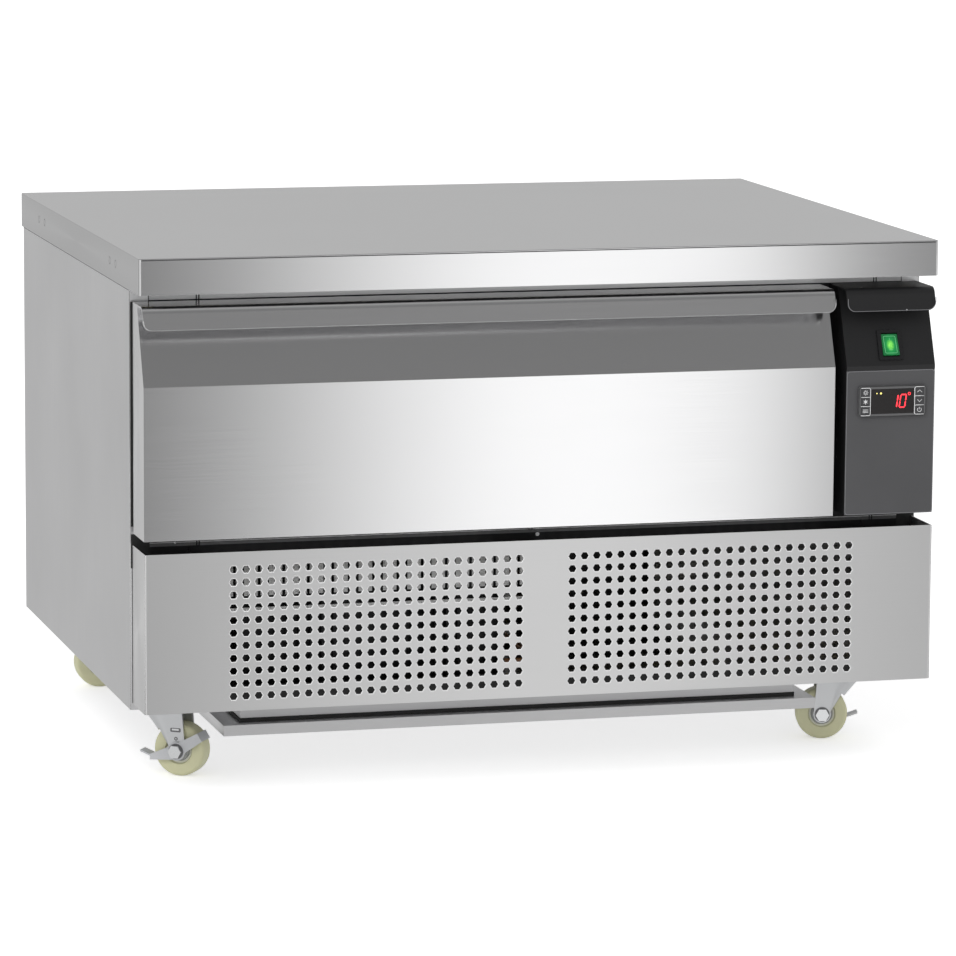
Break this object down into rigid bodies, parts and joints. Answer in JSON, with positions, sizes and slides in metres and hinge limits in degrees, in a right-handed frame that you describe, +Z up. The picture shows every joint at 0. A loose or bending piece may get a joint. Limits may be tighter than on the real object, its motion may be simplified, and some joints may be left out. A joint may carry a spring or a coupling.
{
  "type": "refrigerated drawer counter",
  "caption": "Low stainless refrigerated counter on castors: full-width worktop, pan drawer with hooked lip, black control column, perforated grille over the condensing unit.",
  "frame": {"origin": "on the floor under the middle of the overall box", "axes": "+X to the right seen from the front, -Y towards the user, +Z up"},
  "size_m": [0.87, 0.6908, 0.567],
  "materials": {
    "worktop_steel": "brushed along the length",
    "side_steel": "brushed",
    "front_steel": "brushed along the length",
    "frame_dark": "satin",
    "liner_steel": "satin",
    "slide_steel": "satin",
    "galvanised": "galvanised sheet",
    "zinc": "zinc plated",
    "coil": "fins on tube",
    "copper": "drawn tube",
    "motor": "satin",
    "compressor_black": "gloss",
    "black_rubber": "matt",
    "gasket": "matt",
    "foam": "foamed",
    "fan_blade": "moulded",
    "liner_plastic": "moulded",
    "housing_black": "moulded, satin",
    "fascia_grey": "fine grain",
    "controller_black": "moulded",
    "switch_black": "moulded",
    "gland_black": "moulded",
    "display_dark": "tinted window",
    "key_grey": "soft touch",
    "rocker_green": "translucent lens",
    "nylon": "moulded"
  },
  "bodies": {
    "cabinet": {"worktop": "worktop_steel", "side_panel_left": "side_steel", "side_panel_right": "side_steel", "back_panel": "galvanised", "front_frame": "frame_dark", "insulation": "foam", "inner_liner": "liner_steel", "evaporator_cover": "liner_steel", "evaporator_coil": "coil", "condenser_coil": "coil", "condenser_fan_motor": "motor", "evaporator_fan_motor": "motor", "fan_shroud": "galvanised", "compressor": "compressor_black", "compressor_mounts": "black_rubber", "refrigerant_pipes": "copper", "base_chassis": "galvanised", "bottom_cover": "galvanised", "grille_panel": "front_steel", "slide_outer_left": "slide_steel", "slide_outer_right": "slide_steel", "control_housing": "housing_black", "control_fascia": "fascia_grey", "controller_body": "controller_black", "display_window": "display_dark", "switch_bezel": "switch_black", "cable_gland": "gland_black", "castor_plates": "zinc", "screws": "zinc"},
    "drawer": {"drawer_front": "front_steel", "drawer_inner_panel": "liner_plastic", "drawer_gasket": "gasket", "drawer_frame": "liner_steel", "slide_inner_left": "slide_steel", "slide_inner_right": "slide_steel"},
    "slide_middle_left": {"slide_middle_left": "slide_steel"},
    "slide_middle_right": {"slide_middle_right": "slide_steel"},
    "power_rocker": {"power_rocker": "rocker_green"},
    "condenser_fan": {"condenser_fan_blade": "fan_blade"},
    "evaporator_fan": {"evaporator_fan_blade": "fan_blade"},
    "key_light": {"key_light": "key_grey"},
    "key_defrost": {"key_defrost": "key_grey"},
    "key_set": {"key_set": "key_grey"},
    "key_up": {"key_up": "key_grey"},
    "key_down": {"key_down": "key_grey"},
    "key_standby": {"key_standby": "key_grey"},
    "castor_front_left": {"castor_fork_front_left": "zinc", "axle_bolt_front_left": "zinc"},
    "wheel_front_left": {"castor_wheel_front_left": "nylon"},
    "brake_front_left": {"brake_lever_front_left": "zinc"},
    "castor_front_right": {"castor_fork_front_right": "zinc", "axle_bolt_front_right": "zinc"},
    "wheel_front_right": {"castor_wheel_front_right": "nylon"},
    "brake_front_right": {"brake_lever_front_right": "zinc"},
    "castor_rear_left": {"castor_fork_rear_left": "zinc", "axle_bolt_rear_left": "zinc"},
    "wheel_rear_left": {"castor_wheel_rear_left": "nylon"},
    "castor_rear_right": {"castor_fork_rear_right": "zinc", "axle_bolt_rear_right": "zinc"},
    "wheel_rear_right": {"castor_wheel_rear_right": "nylon"}
  },
  "joints": [
    {"name": "drawer_slide", "type": "slide", "parent": "cabinet", "child": "drawer", "axis": [0, -1, 0], "range_m": [0, 0.5]},
    {"name": "slide_middle_left_slide", "type": "slide", "parent": "cabinet", "child": "slide_middle_left", "axis": [0, -1, 0], "range_m": [0, 0.25]},
    {"name": "slide_middle_right_slide", "type": "slide", "parent": "cabinet", "child": "slide_middle_right", "axis": [0, -1, 0], "range_m": [0, 0.25]},
    {"name": "power_rocker_hinge", "type": "hinge", "parent": "cabinet", "child": "power_rocker", "pos_m": [0.38195, -0.33514, 0.45539], "axis": [1, 0, 0], "range_deg": [0, 16]},
    {"name": "key_light_press", "type": "slide", "parent": "cabinet", "child": "key_light", "axis": [0, 1, 0], "range_m": [0, 0.0006], "stiffness_N_per_m": 400},
    {"name": "key_defrost_press", "type": "slide", "parent": "cabinet", "child": "key_defrost", "axis": [0, 1, 0], "range_m": [0, 0.0006], "stiffness_N_per_m": 400},
    {"name": "key_set_press", "type": "slide", "parent": "cabinet", "child": "key_set", "axis": [0, 1, 0], "range_m": [0, 0.0006], "stiffness_N_per_m": 400},
    {"name": "key_up_press", "type": "slide", "parent": "cabinet", "child": "key_up", "axis": [0, 1, 0], "range_m": [0, 0.0006], "stiffness_N_per_m": 400},
    {"name": "key_down_press", "type": "slide", "parent": "cabinet", "child": "key_down", "axis": [0, 1, 0], "range_m": [0, 0.0006], "stiffness_N_per_m": 400},
    {"name": "key_standby_press", "type": "slide", "parent": "cabinet", "child": "key_standby", "axis": [0, 1, 0], "range_m": [0, 0.0006], "stiffness_N_per_m": 400},
    {"name": "condenser_fan_spin", "type": "hinge", "parent": "cabinet", "child": "condenser_fan", "pos_m": [-0.16, -0.1835, 0.151], "axis": [0, 1, 0], "continuous": true},
    {"name": "evaporator_fan_spin", "type": "hinge", "parent": "cabinet", "child": "evaporator_fan", "pos_m": [0.3045, 0, 0.375], "axis": [1, 0, 0], "continuous": true},
    {"name": "swivel_front_left", "type": "hinge", "parent": "cabinet", "child": "castor_front_left", "pos_m": [-0.393, -0.2015, 0.078], "axis": [0, 0, 1], "continuous": true},
    {"name": "wheel_spin_front_left", "type": "hinge", "parent": "castor_front_left", "child": "wheel_front_left", "pos_m": [-0.36564, -0.21995, 0.0285], "axis": [-0.5592, -0.829, 0], "continuous": true},
    {"name": "brake_front_left", "type": "hinge", "parent": "castor_front_left", "child": "brake_front_left", "pos_m": [-0.36564, -0.21995, 0.0285], "axis": [-0.5592, -0.829, 0], "range_deg": [-9, 0]},
    {"name": "swivel_front_right", "type": "hinge", "parent": "cabinet", "child": "castor_front_right", "pos_m": [0.393, -0.2015, 0.078], "axis": [0, 0, 1], "continuous": true},
    {"name": "wheel_spin_front_right", "type": "hinge", "parent": "castor_front_right", "child": "wheel_front_right", "pos_m": [0.36098, -0.19352, 0.0285], "axis": [0.2419, 0.9703, 0], "continuous": true},
    {"name": "brake_front_right", "type": "hinge", "parent": "castor_front_right", "child": "brake_front_right", "pos_m": [0.36098, -0.19352, 0.0285], "axis": [0.2419, 0.9703, 0], "range_deg": [-9, 0]},
    {"name": "swivel_rear_left", "type": "hinge", "parent": "cabinet", "child": "castor_rear_left", "pos_m": [-0.393, 0.2735, 0.078], "axis": [0, 0, 1], "continuous": true},
    {"name": "wheel_spin_rear_left", "type": "hinge", "parent": "castor_rear_left", "child": "wheel_rear_left", "pos_m": [-0.36, 0.2735, 0.0285], "axis": [0, -1, 0], "continuous": true},
    {"name": "swivel_rear_right", "type": "hinge", "parent": "cabinet", "child": "castor_rear_right", "pos_m": [0.393, 0.2735, 0.078], "axis": [0, 0, 1], "continuous": true},
    {"name": "wheel_spin_rear_right", "type": "hinge", "parent": "castor_rear_right", "child": "wheel_rear_right", "pos_m": [0.40429, 0.30451, 0.0285], "axis": [0.9397, -0.342, 0], "continuous": true}
  ],
  "couplings": [
    {"joint": "slide_middle_left_slide", "follows": "drawer_slide", "ratio": 0.5},
    {"joint": "slide_middle_right_slide", "follows": "drawer_slide", "ratio": 0.5}
  ]
}
